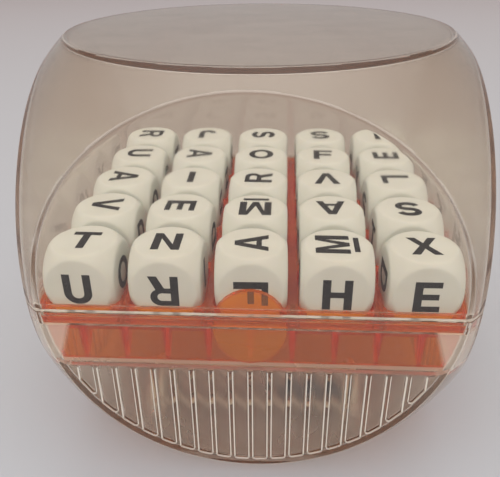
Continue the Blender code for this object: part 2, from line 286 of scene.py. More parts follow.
def noise(tree, scale, detail, stretch=(1, 1, 1)):
    """Fractal noise in object space, in features per metre, stretched along the axes."""
    place = tree.nodes.new("ShaderNodeTexCoord")
    mapping = tree.nodes.new("ShaderNodeMapping")
    mapping.inputs["Scale"].default_value = stretch
    texture = tree.nodes.new("ShaderNodeTexNoise")
    texture.inputs["Scale"].default_value = scale
    texture.inputs["Detail"].default_value = detail
    tree.links.new(place.outputs["Object"], mapping.inputs["Vector"])
    tree.links.new(mapping.outputs["Vector"], texture.inputs["Vector"])
    return texture.outputs["Fac"]


def ramp(tree, value, positions, colours):
    """A colour ramp over a value, with a colour at each position."""
    node = tree.nodes.new("ShaderNodeValToRGB")
    elements = node.color_ramp.elements
    while len(elements) < len(positions):
        elements.new(0.5)
    for element, position, colour in zip(elements, positions, colours):
        element.position = position
        element.color = (*colour, 1)
    tree.links.new(value, node.inputs["Fac"])
    return node.outputs["Color"]


def spread(tree, value, low, high, out_low, out_high):
    """Maps a value from one range to another, held at the ends."""
    node = tree.nodes.new("ShaderNodeMapRange")
    for key, number in (("From Min", low), ("From Max", high), ("To Min", out_low), ("To Max", out_high)):
        node.inputs[key].default_value = number
    tree.links.new(value, node.inputs["Value"])
    return node.outputs["Result"]


def face_value(tree, name):
    """A value that the mesh holds for each of its faces."""
    node = tree.nodes.new("ShaderNodeAttribute")
    node.attribute_name = name
    return node.outputs["Fac"]


def calculate(tree, operation, first, second=0):
    """One sum on one or two values, each a socket or a number."""
    node = tree.nodes.new("ShaderNodeMath")
    node.operation = operation
    for socket, value in zip(node.inputs, (first, second)):
        if isinstance(value, (int, float)):
            socket.default_value = value
        else:
            tree.links.new(value, socket)
    return node.outputs["Value"]


def product(tree, first, *others):
    """The product of two or more values."""
    for other in others:
        first = calculate(tree, "MULTIPLY", first, other)
    return first


def between(tree, value, low, high):
    """1 where a value lies between two others or on one of them, and 0 elsewhere."""
    above = calculate(tree, "GREATER_THAN", value, low - WELD)
    below = calculate(tree, "LESS_THAN", value, high + WELD)
    return product(tree, above, below)


def blend_colours(tree, share, first, second):
    """A mix of two colours, each a socket or a plain colour."""
    node = tree.nodes.new("ShaderNodeMix")
    node.data_type = "RGBA"
    tree.links.new(share, node.inputs["Factor"])
    colours = [socket for socket in node.inputs if socket.type == "RGBA"]
    for socket, value in zip(colours, (first, second)):
        if isinstance(value, tuple):
            socket.default_value = (*value, 1)
        else:
            tree.links.new(value, socket)
    return next(socket for socket in node.outputs if socket.type == "RGBA")


def bump(tree, shader, height, strength, distance):
    """Adds fine relief to a shader from a height."""
    node = tree.nodes.new("ShaderNodeBump")
    node.inputs["Strength"].default_value = strength
    node.inputs["Distance"].default_value = distance
    tree.links.new(height, node.inputs["Height"])
    tree.links.new(node.outputs["Normal"], shader.inputs["Normal"])


def let_light_through(tree, shader, tint):
    """Lets lamps and soft light pass a clear piece, tinted, so that what is inside stays lit."""
    paths = tree.nodes.new("ShaderNodeLightPath")
    passes = calculate(tree, "MAXIMUM", paths.outputs["Is Shadow Ray"], paths.outputs["Is Diffuse Ray"])
    clear = tree.nodes.new("ShaderNodeBsdfTransparent")
    clear.inputs["Color"].default_value = (*tint, 1)
    mix = tree.nodes.new("ShaderNodeMixShader")
    tree.links.new(passes, mix.inputs["Fac"])
    tree.links.new(shader.outputs["BSDF"], mix.inputs[1])
    tree.links.new(clear.outputs["BSDF"], mix.inputs[2])
    tree.links.new(mix.outputs["Shader"], tree.nodes["Material Output"].inputs["Surface"])


def absorb(tree, colour, density):
    """Colours a clear piece by how much of it light passes through."""
    volume = tree.nodes.new("ShaderNodeVolumeAbsorption")
    volume.inputs["Color"].default_value = (*colour, 1)
    volume.inputs["Density"].default_value = density
    tree.links.new(volume.outputs["Volume"], tree.nodes["Material Output"].inputs["Volume"])


def beside_skirt(tree, place):
    """1 on the base's inner wall at its corners, beside the tray's skirt, where painted light makes the
    plastic pale and milky.
    """
    x, y, z = place
    least = calculate(tree, "MINIMUM", calculate(tree, "ABSOLUTE", x), calculate(tree, "ABSOLUTE", y))
    start = spread(tree, z, BEAD_TOP_Z, SHELF_Z, *CORNER_STARTS)
    corner = spread(tree, calculate(tree, "SUBTRACT", least, start), 0, CORNER_FADE, 0, 1)
    inner = calculate(tree, "GREATER_THAN", face_value(tree, "haze"), FLAT_HAZE / 2)
    return product(tree, corner, inner, between(tree, z, BEAD_TOP_Z, SHELF_Z))


def smoky_clear():
    """Clear smoky brown styrene: painted shade at its foot, hazier and paler where its faces are marked so,
    the paleness partly painted highlights and painted light.
    """
    material, tree, shader = node_material("smoky_clear")
    shader.inputs["IOR"].default_value = PLASTIC_IOR
    place = point_place(tree)
    # Painted light: the corners beside the skirt are painted pale and milky
    milky = product(tree, beside_skirt(tree, place), CORNER_PAINTED_LIGHT)
    # The worn value is painted paleness: painted highlights on edges, rib lips and panel feet, painted light
    # at the corners, and plain paleness elsewhere
    worn = calculate(tree, "MAXIMUM", face_value(tree, "worn"), milky)
    tree.links.new(spread(tree, worn, 0, 1, 1, PALEST_CLARITY), shader.inputs["Transmission Weight"])
    tone = ramp(tree, noise(tree, 35, 4), (0.3, 0.75), TONES["smoky_clear"])
    # Painted shade: the case's tone deepens towards its foot
    tone = blend_colours(tree, spread(tree, place[2], *FOOT_SHADE_FADE, 1, 0), tone, FOOT_SHADE_TONE)
    # Blends in the pale tone where the painted highlights, the painted light and the paleness lie
    tree.links.new(blend_colours(tree, worn, tone, PAINTED_LIGHT_AND_PALE_TONE), shader.inputs["Base Color"])
    marks = spread(tree, noise(tree, 120, 3, stretch=(1, 1, 0.35)), 0.45, 0.8, 0.03, 0.08)
    tree.links.new(calculate(tree, "ADD", marks, face_value(tree, "haze")), shader.inputs["Roughness"])
    bump(tree, shader, noise(tree, 60, 1), strength=0.06, distance=0.0006)
    absorb(tree, colour=(0.70, 0.52, 0.36), density=34)
    let_light_through(tree, shader, tint=(0.955, 0.945, 0.93))
    return material


def along_side(tree, place):
    """How far a point lies along the tray's nearest side, from that side's middle."""
    x, y, _ = place
    front = calculate(tree, "GREATER_THAN", calculate(tree, "ABSOLUTE", y), calculate(tree, "ABSOLUTE", x))
    side = calculate(tree, "SUBTRACT", 1, front)
    return calculate(tree, "ADD", product(tree, x, front), product(tree, y, side))


def from_nearest(tree, value, pitch):
    """How far a value is from the nearest whole number of pitches."""
    turned = calculate(tree, "FLOORED_MODULO", calculate(tree, "ADD", value, pitch / 2), pitch)
    return calculate(tree, "ABSOLUTE", calculate(tree, "SUBTRACT", turned, pitch / 2))


def on_outside(tree, place):
    """1 on the tray's outer wall and flange, 0 among its cells."""
    x, y, _ = place
    out = calculate(tree, "MAXIMUM", calculate(tree, "ABSOLUTE", x), calculate(tree, "ABSOLUTE", y))
    wall = ROWS / 2 * CELL_PITCH - STRIP_FADE
    return spread(tree, out, wall - STRIP_FADE, wall, 0, 1)


def on_flange(tree, place):
    """1 on the flange round the tray."""
    level = between(tree, place[2], FLANGE_Z, FLANGE_Z + FLANGE_THICKNESS)
    return product(tree, level, on_outside(tree, place))


def in_front_of_die(tree, place):
    """1 on the strips of the tray's outer wall in front of each die, above the flange, where painted light is
    laid.
    """
    away = from_nearest(tree, along_side(tree, place), CELL_PITCH)
    near = spread(tree, away, STRIP_HALF_WIDTH - STRIP_FADE, STRIP_HALF_WIDTH, 1, 0)
    above = calculate(tree, "GREATER_THAN", place[2], FLANGE_Z + FLANGE_THICKNESS)
    return product(tree, on_outside(tree, place), near, above)


def backed_by_gusset(tree, place):
    """1 where a gusset backs the tray's skirt, broad under the flange and narrow at the foot."""
    away = from_nearest(tree, along_side(tree, place), GUSSET_PITCH)
    half_width = spread(tree, place[2], SKIRT_FOOT_Z, FLANGE_Z, *GUSSET_HALF_WIDTHS)
    backed = spread(tree, calculate(tree, "SUBTRACT", away, half_width), -GUSSET_BLUR, GUSSET_BLUR, 1, 0)
    return product(tree, backed, calculate(tree, "LESS_THAN", place[2], FLANGE_Z))


def on_finger_tab(tree, place):
    """1 on the oval finger tab, and then 1 on its outline alone."""
    x, y, z = place
    half_height = (tray_high.z - SKIRT_FOOT_Z) / 2
    aside = calculate(tree, "DIVIDE", x, TAB_HALF_WIDTH)
    rise = calculate(tree, "SUBTRACT", z, SKIRT_FOOT_Z + half_height)
    rise = calculate(tree, "DIVIDE", rise, half_height)
    reach = calculate(tree, "ADD", calculate(tree, "POWER", aside, 2), calculate(tree, "POWER", rise, 2))
    in_front = calculate(tree, "LESS_THAN", y, tray_low.y + TAB_THICKNESS + WELD)
    on_tab = product(tree, spread(tree, reach, *TAB_FADE, 1, 0), in_front)
    return on_tab, product(tree, spread(tree, reach, *TAB_OUTLINE_FADE, 0, 1), on_tab)


def orange_clear():
    """Clear orange styrene: redder over the gussets, bright amber with painted light in strips in front of
    the dice and on the tab's upper part, and milky at the tab's foot.
    """
    material, tree, shader = node_material("orange_clear")
    shader.inputs["IOR"].default_value = PLASTIC_IOR
    place = point_place(tree)
    tone = ramp(tree, noise(tree, 45, 3), (0.3, 0.75), TONES["orange_clear"])
    tone = blend_colours(tree, backed_by_gusset(tree, place), tone, GUSSET_TONE)
    # Painted light: bright amber strips where the white dice light the thin wall from behind
    tone = blend_colours(tree, in_front_of_die(tree, place), tone, STRIP_PAINTED_LIGHT_TONE)
    tone = blend_colours(tree, on_flange(tree, place), tone, FLANGE_TONE)
    on_tab, outline = on_finger_tab(tree, place)
    # Painted light: above the flange the tab, lit from the die behind it, is painted a brighter amber
    raised = spread(tree, place[2], FLANGE_Z, FLANGE_Z + FLANGE_THICKNESS, 0, 1)
    amber = blend_colours(tree, raised, TAB_LOW_TONE, TAB_HIGH_PAINTED_LIGHT_TONE)
    amber = blend_colours(tree, outline, amber, TAB_OUTLINE_TONE)
    tree.links.new(blend_colours(tree, on_tab, tone, amber), shader.inputs["Base Color"])
    milky = calculate(tree, "SUBTRACT", on_tab, product(tree, on_tab, raised, TAB_CLEARING))
    clarity = spread(tree, milky, 1 - TAB_CLEARING, 1, *TRAY_CLARITY)
    tree.links.new(clarity, shader.inputs["Transmission Weight"])
    tree.links.new(spread(tree, noise(tree, 150, 3), 0.4, 0.8, 0.03, 0.12), shader.inputs["Roughness"])
    bump(tree, shader, noise(tree, 90, 1), strength=0.06, distance=0.0005)
    absorb(tree, colour=(0.992, 0.52, 0.18), density=600)
    let_light_through(tree, shader, tint=(0.96, 0.96, 0.96))
    return material


def ivory():
    """Warm white moulded plastic, satin, a little grubby in patches."""
    material, tree, shader = node_material("ivory")
    tone = ramp(tree, noise(tree, 160, 5), (0.25, 0.6), TONES["ivory"])
    tree.links.new(tone, shader.inputs["Base Color"])
    tree.links.new(spread(tree, noise(tree, 900, 4), 0.3, 0.8, 0.28, 0.5), shader.inputs["Roughness"])
    shader.inputs["Subsurface Weight"].default_value = 0.15
    shader.inputs["Subsurface Radius"].default_value = (0.0012, 0.0009, 0.0006)
    bump(tree, shader, noise(tree, 1400, 4), strength=0.1, distance=0.0001)
    return material


def ink():
    """Black stamped ink, worn grey in specks."""
    material, tree, shader = node_material("ink")
    tone = ramp(tree, noise(tree, 2600, 6), (0.55, 0.80), TONES["ink"])
    tree.links.new(tone, shader.inputs["Base Color"])
    tree.links.new(spread(tree, noise(tree, 1800, 4), 0.3, 0.8, 0.45, 0.7), shader.inputs["Roughness"])
    shader.inputs["Specular IOR Level"].default_value = 0.3
    bump(tree, shader, noise(tree, 2600, 5), strength=0.25, distance=0.00005)
    return material


def cream_plastic():
    """Cream moulded plastic for the timer's caps and posts."""
    material, tree, shader = node_material("cream_plastic")
    tone = ramp(tree, noise(tree, 300, 4), (0.3, 0.7), TONES["cream_plastic"])
    tree.links.new(tone, shader.inputs["Base Color"])
    tree.links.new(spread(tree, noise(tree, 700, 4), 0.3, 0.8, 0.3, 0.5), shader.inputs["Roughness"])
    return material


def clear_glass():
    """The timer's thin glass."""
    material, tree, shader = node_material("clear_glass")
    shader.inputs["Transmission Weight"].default_value = 1
    shader.inputs["IOR"].default_value = GLASS_IOR
    tone = ramp(tree, noise(tree, 80, 2), (0.3, 0.7), TONES["clear_glass"])
    tree.links.new(tone, shader.inputs["Base Color"])
    shader.inputs["Roughness"].default_value = 0.02
    let_light_through(tree, shader, tint=(0.95, 0.96, 0.95))
    return material


def fine_sand():
    """Slate-blue sand, grain by grain."""
    material, tree, shader = node_material("fine_sand")
    tone = ramp(tree, noise(tree, 6000, 3), (0.3, 0.7), TONES["fine_sand"])
    tree.links.new(tone, shader.inputs["Base Color"])
    shader.inputs["Roughness"].default_value = 0.9
    bump(tree, shader, noise(tree, 6000, 3), strength=0.6, distance=0.0002)
    return material


def paint(thing, material):
    """Gives an object one material in place of any it had."""
    thing.data.materials.clear()
    thing.data.materials.append(material)


def form_point(half, radius, power, direction):
    """Where a ray from the middle meets the die form: a cube and a sphere, blended where they meet."""
    shares = sum((radius * abs(part) / half) ** power for part in direction)
    return radius * (1 + shares) ** (-1 / power) * direction


def die_form(half, radius, segments, bands, edge_cut):
    """A closed mesh of a cube rounded by one sphere, ringed so that the round flats' edges are smooth."""
    bm = bmesh.new()
    power = radius * math.log(2) / edge_cut
    flat_angle = math.acos(half / radius)
    softness = 1 / (power * math.tan(flat_angle))
    for axis in range(3):
        for side in (-1, 1):
            normal = side * Matrix.Identity(3)[axis]
            across = Matrix.Identity(3)[(axis + 1) % 3]
            along = normal.cross(across)
            spokes = []
            for k in range(segments):
                turn = math.tau * (k / segments + 1 / 8)
                outward = math.cos(turn) * across + math.sin(turn) * along
                reach = math.atan(1 / max(abs(math.cos(turn)), abs(math.sin(turn)))) - flat_angle
                angles = [flat_angle - softness * ring for ring in FLAT_RINGS]
                angles += [flat_angle + reach * (band / bands) ** BAND_GROWTH for band in range(bands + 1)]
                directions = [math.cos(angle) * normal + math.sin(angle) * outward for angle in angles]
                spokes.append([bm.verts.new(form_point(half, radius, power, way)) for way in directions])
            bm.faces.new([spoke[0] for spoke in spokes])
            for first, second in zip(spokes, spokes[1:] + spokes[:1]):
                for step in range(len(first) - 1):
                    bm.faces.new((first[step], first[step + 1], second[step + 1], second[step]))
    bmesh.ops.remove_doubles(bm, verts=bm.verts, dist=WELD)
    bmesh.ops.recalc_face_normals(bm, faces=bm.faces)
    return bm


def new_case_mesh():
    """An empty mesh whose faces hold how hazy they are, and how pale they are painted, painted highlights
    included.
    """
    bm = bmesh.new()
    for name in ("haze", "worn"):
        bm.faces.layers.float.new(name)
    return bm


def mark(bm, faces, name, value):
    """Gives faces one of the values that the clear plastic reads."""
    layer = bm.faces.layers.float[name]
    for face in faces:
        face[layer] = value


def polar_angle(vert):
    """A vertex's angle round the case's upright axis."""
    return math.atan2(vert.co.y, vert.co.x)


def add_case_strip(bm, inset, low_z=None, high_z=None):
    """Adds the part of the case's form between two heights, and returns its rim at each height."""
    strip = die_form(CASE_HALF - inset, CASE_RADIUS - inset, CASE_SEGMENTS, CASE_BANDS, CASE_EDGE_CUT)
    bmesh.ops.translate(strip, verts=strip.verts, vec=MIDDLE)
    heights = [height for height in (low_z, high_z) if height is not None]
    for height in heights:
        below = height == high_z
        whole = strip.verts[:] + strip.edges[:] + strip.faces[:]
        cut = {"clear_outer": below, "clear_inner": not below}
        bmesh.ops.bisect_plane(strip, geom=whole, plane_co=(0, 0, height), plane_no=(0, 0, 1), **cut)
    mesh = bpy.data.meshes.new("strip")
    strip.to_mesh(mesh)
    strip.free()
    first_vert, first_face = len(bm.verts), len(bm.faces)
    bm.from_mesh(mesh)
    bpy.data.meshes.remove(mesh)
    bm.verts.ensure_lookup_table()
    bm.faces.ensure_lookup_table()
    for face in bm.faces[first_face:]:
        if inset >= WALL:
            reach = max(abs(part) for part in face.calc_center_median() - MIDDLE)
            on_flat = CASE_HALF - inset - reach < 2 * CASE_EDGE_CUT
            mark(bm, [face], "haze", FLAT_HAZE if on_flat else ROUND_HAZE)
        greatest = max(abs(part) for part in face.normal)
        # Faces along the outer rounded edges get a painted highlight: paler and less clear
        if inset == 0 and abs(greatest - EDGE_NORMAL) < EDGE_NORMAL_BAND:
            mark(bm, [face], "worn", DOME_EDGE_PAINTED_HIGHLIGHT if low_z else BASE_EDGE_PAINTED_HIGHLIGHT)
    rims = {}
    for height in heights:
        rim = [vert for vert in bm.verts[first_vert:] if abs(vert.co.z - height) < WELD and vert.is_boundary]
        rims[height] = sorted(rim, key=polar_angle)
    return rims


def bridge(bm, first, second):
    """Joins two rims round the upright axis with triangles that keep step with the angle."""
    faces = []
    here, there = 0, 0
    while here < len(first) or there < len(second):
        a, b = first[here % len(first)], second[there % len(second)]
        next_a, next_b = first[(here + 1) % len(first)], second[(there + 1) % len(second)]
        angle_a = polar_angle(next_a) + math.tau * (here + 1 >= len(first))
        angle_b = polar_angle(next_b) + math.tau * (there + 1 >= len(second))
        if there >= len(second) or (here < len(first) and angle_a < angle_b):
            faces.append(bm.faces.new((a, next_a, b)))
            here += 1
        else:
            faces.append(bm.faces.new((a, next_b, b)))
            there += 1
    mark(bm, faces, "haze", SEAM_HAZE)
    return faces


def finish_mesh(bm, name, material):
    """Turns a bmesh into a smooth-shaded object."""
    bmesh.ops.recalc_face_normals(bm, faces=bm.faces)
    mesh = bpy.data.meshes.new(name)
    bm.to_mesh(mesh)
    bm.free()
    mesh.shade_smooth()
    mesh.set_sharp_from_angle(angle=SMOOTH_ANGLE)
    mesh.materials.append(material)
    thing = bpy.data.objects.new(name, mesh)
    bpy.context.collection.objects.link(thing)
    return thing


def dome(material):
    """The dome: outer and inner surfaces joined round the lip under its edge."""
    bm = new_case_mesh()
    foot_z = SEAM_Z + SEAT_GAP
    step_z = foot_z + LIP_REACH
    outer = add_case_strip(bm, 0, low_z=foot_z)
    inner = add_case_strip(bm, WALL, low_z=step_z)
    outside = add_case_strip(bm, RIM + SEAT_GAP, LIP_FOOT_Z, foot_z)
    inside = add_case_strip(bm, WALL + LIP_PROUD, LIP_FOOT_Z, step_z)
    mark(bm, bridge(bm, outer[foot_z], outside[foot_z]), "worn", DOME_FOOT_PALENESS)
    bridge(bm, outside[LIP_FOOT_Z], inside[LIP_FOOT_Z])
    bridge(bm, inside[step_z], inner[step_z])
    piece = finish_mesh(bm, "dome_clear", material)
    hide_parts("dome_lid")
    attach(piece, "dome")


def moved_corners(corners, distance):
    """The corners of a convex outline, counter-clockwise, with every side moved outwards."""
    moved = []
    count = len(corners)
    for k in range(count):
        before, here, after = corners[k - 1], corners[k], corners[(k + 1) % count]
        first, second = (here - before).normalized(), (after - here).normalized()
        normal_a, normal_b = Vector((first.y, -first.x)), Vector((second.y, -second.x))
        moved.append(here + (normal_a + normal_b) * distance / (1 + normal_a.dot(normal_b)))
    return moved


def rounded(corners, radius):
    """Points of a convex outline with its corners rounded."""
    points = []
    count = len(corners)
    for k in range(count):
        before, here, after = corners[k - 1], corners[k], corners[(k + 1) % count]
        to_before, to_after = (before - here).normalized(), (after - here).normalized()
        half_angle = to_before.angle(to_after) / 2
        centre = here + (to_before + to_after).normalized() * radius / math.sin(half_angle)
        start = here + to_before * radius / math.tan(half_angle) - centre
        sweep = math.pi - 2 * half_angle
        for step in range(QUARTER_STEPS + 1):
            points.append(centre + Matrix.Rotation(sweep * step / QUARTER_STEPS, 2) @ start)
    return points


def panel_corners():
    """The corners (across, up) of each sunk panel between two ribs of a grille."""
    span = 2 * (CASE_HALF - GRILLE_SIDE_MARGIN)
    pitch = span / (RIBS - 1)
    arc_radius = CASE_HALF - EDGE_MARGIN - GRILLE_RIM
    top = BEAD_TOP_Z - PANEL_TOP_DROP
    for panel in range(RIBS - 1):
        left = panel * pitch - span / 2 + RIB_WIDTH / 2
        right = left + pitch - RIB_WIDTH
        foot_left, foot_right = (CASE_HALF - math.sqrt(arc_radius ** 2 - x ** 2) for x in (left, right))
        corners = (left, foot_left), (right, foot_right), (right, top), (left, top)
        yield [Vector(corner) for corner in corners]


def panel_loops():
    """How far each loop down a panel is moved out, and how deep it lies: lip, wall, fillet and floor."""
    quarter = [math.tau / 4 * step / QUARTER_STEPS for step in range(QUARTER_STEPS + 1)]
    for angle in quarter:
        yield PANEL_LIP * (1 - math.sin(angle)), PANEL_LIP * (1 - math.cos(angle))
    for angle in quarter[::-1]:
        yield -PANEL_FILLET * (1 - math.sin(angle)), GRILLE_RECESS - PANEL_FILLET * (1 - math.cos(angle))


def cut_grille(bm, face):
    """Replaces a flat of the base by one with sunk panels between ribs."""
    normal = face.normal.copy()
    centre = normal * CASE_HALF
    across = Vector((0, 0, 1)).cross(normal)
    rim = face.edges[:]
    bmesh.ops.delete(bm, geom=[face], context="FACES_ONLY")
    along_ribs = (0, 2 * (QUARTER_STEPS + 1))
    holes = []
    for corners in panel_corners():
        loops = []
        for grow, depth in panel_loops():
            outline = rounded(moved_corners(corners, grow), PANEL_CORNER + grow)
            place = centre - normal * depth
            points = [place + across * point.x + Vector((0, 0, point.y)) for point in outline]
            loops.append([bm.verts.new(point) for point in points])
        for step, (first, second) in enumerate(zip(loops, loops[1:])):
            for k in range(len(first)):
                flank = bm.faces.new((first[k - 1], first[k], second[k], second[k - 1]))
                mark(bm, [flank], "haze", PANEL_HAZE)
                # The lips along the ribs and round the panels' foot get a painted highlight: paler and less
                # clear
                if step < QUARTER_STEPS and k <= along_ribs[1]:
                    mark(bm, [flank], "worn", RIB_PAINTED_HIGHLIGHT if k in along_ribs else PANEL_FOOT_PAINTED_HIGHLIGHT)
        floor = bm.faces.new(loops[-1])
        mark(bm, [floor], "haze", PANEL_HAZE)
        mark(bm, [floor], "worn", PANEL_FLOOR_PALENESS)
        top = loops[0]
        holes += [bm.edges.get((top[k - 1], top[k])) for k in range(len(top))]
    bmesh.ops.triangle_fill(bm, edges=rim + holes, use_beauty=False, use_dissolve=False)


def add_cradle(bm):
    """Adds the two moulded blocks on the base's floor that hold the timer's caps, just clear of the floor."""
    cap_low, cap_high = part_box("timer_end_cap")
    axis_y, axis_z = (cap_low.y + cap_high.y) / 2, (cap_low.z + cap_high.z) / 2
    pocket = (cap_high.y - cap_low.y) / 2 + SEAT_GAP
    pocket_end = max(abs(cap_low.x), abs(cap_high.x)) + SEAT_GAP
    start = pocket_end - (cap_high.x - cap_low.x) - 2 * SEAT_GAP
    end = pocket_end + CRADLE_WALL
    turns = [math.pi * step / CRADLE_STEPS for step in range(CRADLE_STEPS + 1)]
    hollow = [(pocket * math.cos(turn), axis_z - pocket * math.sin(turn)) for turn in turns]
    right_lip, left_lip = hollow[0], hollow[-1]
    foot_z = WALL + CRADLE_CLEAR
    left_foot, right_foot = (-CRADLE_FOOT / 2, foot_z), (CRADLE_FOOT / 2, foot_z)
    top = pocket + CRADLE_WALL
    left_top, right_top = (-top, axis_z), (top, axis_z)
    corners = [left_foot, right_foot, right_top, left_top]
    layers = ((start, hollow + corners), (pocket_end, hollow), (end, corners + [right_lip, left_lip]))
    first_face = len(bm.faces)
    for side in (-1, 1):
        near, middle, far = (
            {(y, z): bm.verts.new((side * x, axis_y + y, z)) for y, z in points} for x, points in layers)
        bm.faces.new([near[point] for point in corners[:3] + hollow + [left_top]])
        bm.faces.new([far[point] for point in corners[:3] + [right_lip, left_lip, left_top]])
        bm.faces.new([middle[point] for point in hollow])
        for a, b in ((left_foot, right_foot), (right_foot, right_top), (left_top, left_foot)):
            bm.faces.new((near[a], near[b], far[b], far[a]))
        for a, b in zip(hollow, hollow[1:]):
            bm.faces.new((near[a], near[b], middle[b], middle[a]))
        bm.faces.new((near[right_top], near[right_lip], middle[right_lip], far[right_lip], far[right_top]))
        bm.faces.new((near[left_lip], near[left_top], far[left_top], far[left_lip], middle[left_lip]))
        bm.faces.new((middle[right_lip], middle[left_lip], far[left_lip], far[right_lip]))
    bm.faces.ensure_lookup_table()
    mark(bm, bm.faces[first_face:], "worn", CRADLE_PALENESS)


def base(material):
    """The base: outer surface with its grilles, then rim, shelf and bead down to the inner surface."""
    bm = new_case_mesh()
    bead_foot_z = BEAD_TOP_Z - BEAD_HEIGHT
    outer = add_case_strip(bm, 0, high_z=SEAM_Z)
    for face in [face for face in bm.faces if len(face.verts) > FEW_CORNERS and abs(face.normal.z) < 0.5]:
        cut_grille(bm, face)
    rim = add_case_strip(bm, RIM, SHELF_Z, SEAM_Z)
    upper = add_case_strip(bm, WALL, BEAD_TOP_Z, SHELF_Z)
    bead = add_case_strip(bm, WALL + BEAD_DEPTH, bead_foot_z, BEAD_TOP_Z)
    lower = add_case_strip(bm, WALL, high_z=bead_foot_z)
    bridge(bm, outer[SEAM_Z], rim[SEAM_Z])
    bridge(bm, rim[SHELF_Z], upper[SHELF_Z])
    mark(bm, bridge(bm, upper[BEAD_TOP_Z], bead[BEAD_TOP_Z]), "worn", BEAD_PALENESS)
    mark(bm, bridge(bm, bead[bead_foot_z], lower[bead_foot_z]), "worn", BEAD_PALENESS)
    add_cradle(bm)
    piece = finish_mesh(bm, "base_clear", material)
    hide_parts("base_shell")
    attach(piece, "base")


def arc(centre_x, centre_y, radius_x, radius_y, start, end):
    """Points on an elliptic arc between two angles in degrees."""
    steps = max(2, round(ARC_STEPS * abs(end - start) / 90))
    angles = [math.radians(start + (end - start) * step / steps) for step in range(steps + 1)]
    return [(centre_x + radius_x * math.cos(a), centre_y + radius_y * math.sin(a)) for a in angles]


def stroke(path, width):
    """The outline of a pen stroke along a path."""
    points = [Vector(point) for point in path]
    left, right = [], []
    for k, point in enumerate(points):
        way = (points[min(k + 1, len(points) - 1)] - points[max(k - 1, 0)]).normalized()
        aside = Vector((-way.y, way.x)) * width / 2
        left.append(point + aside)
        right.append(point - aside)
    return [tuple(point) for point in left + right[::-1]]


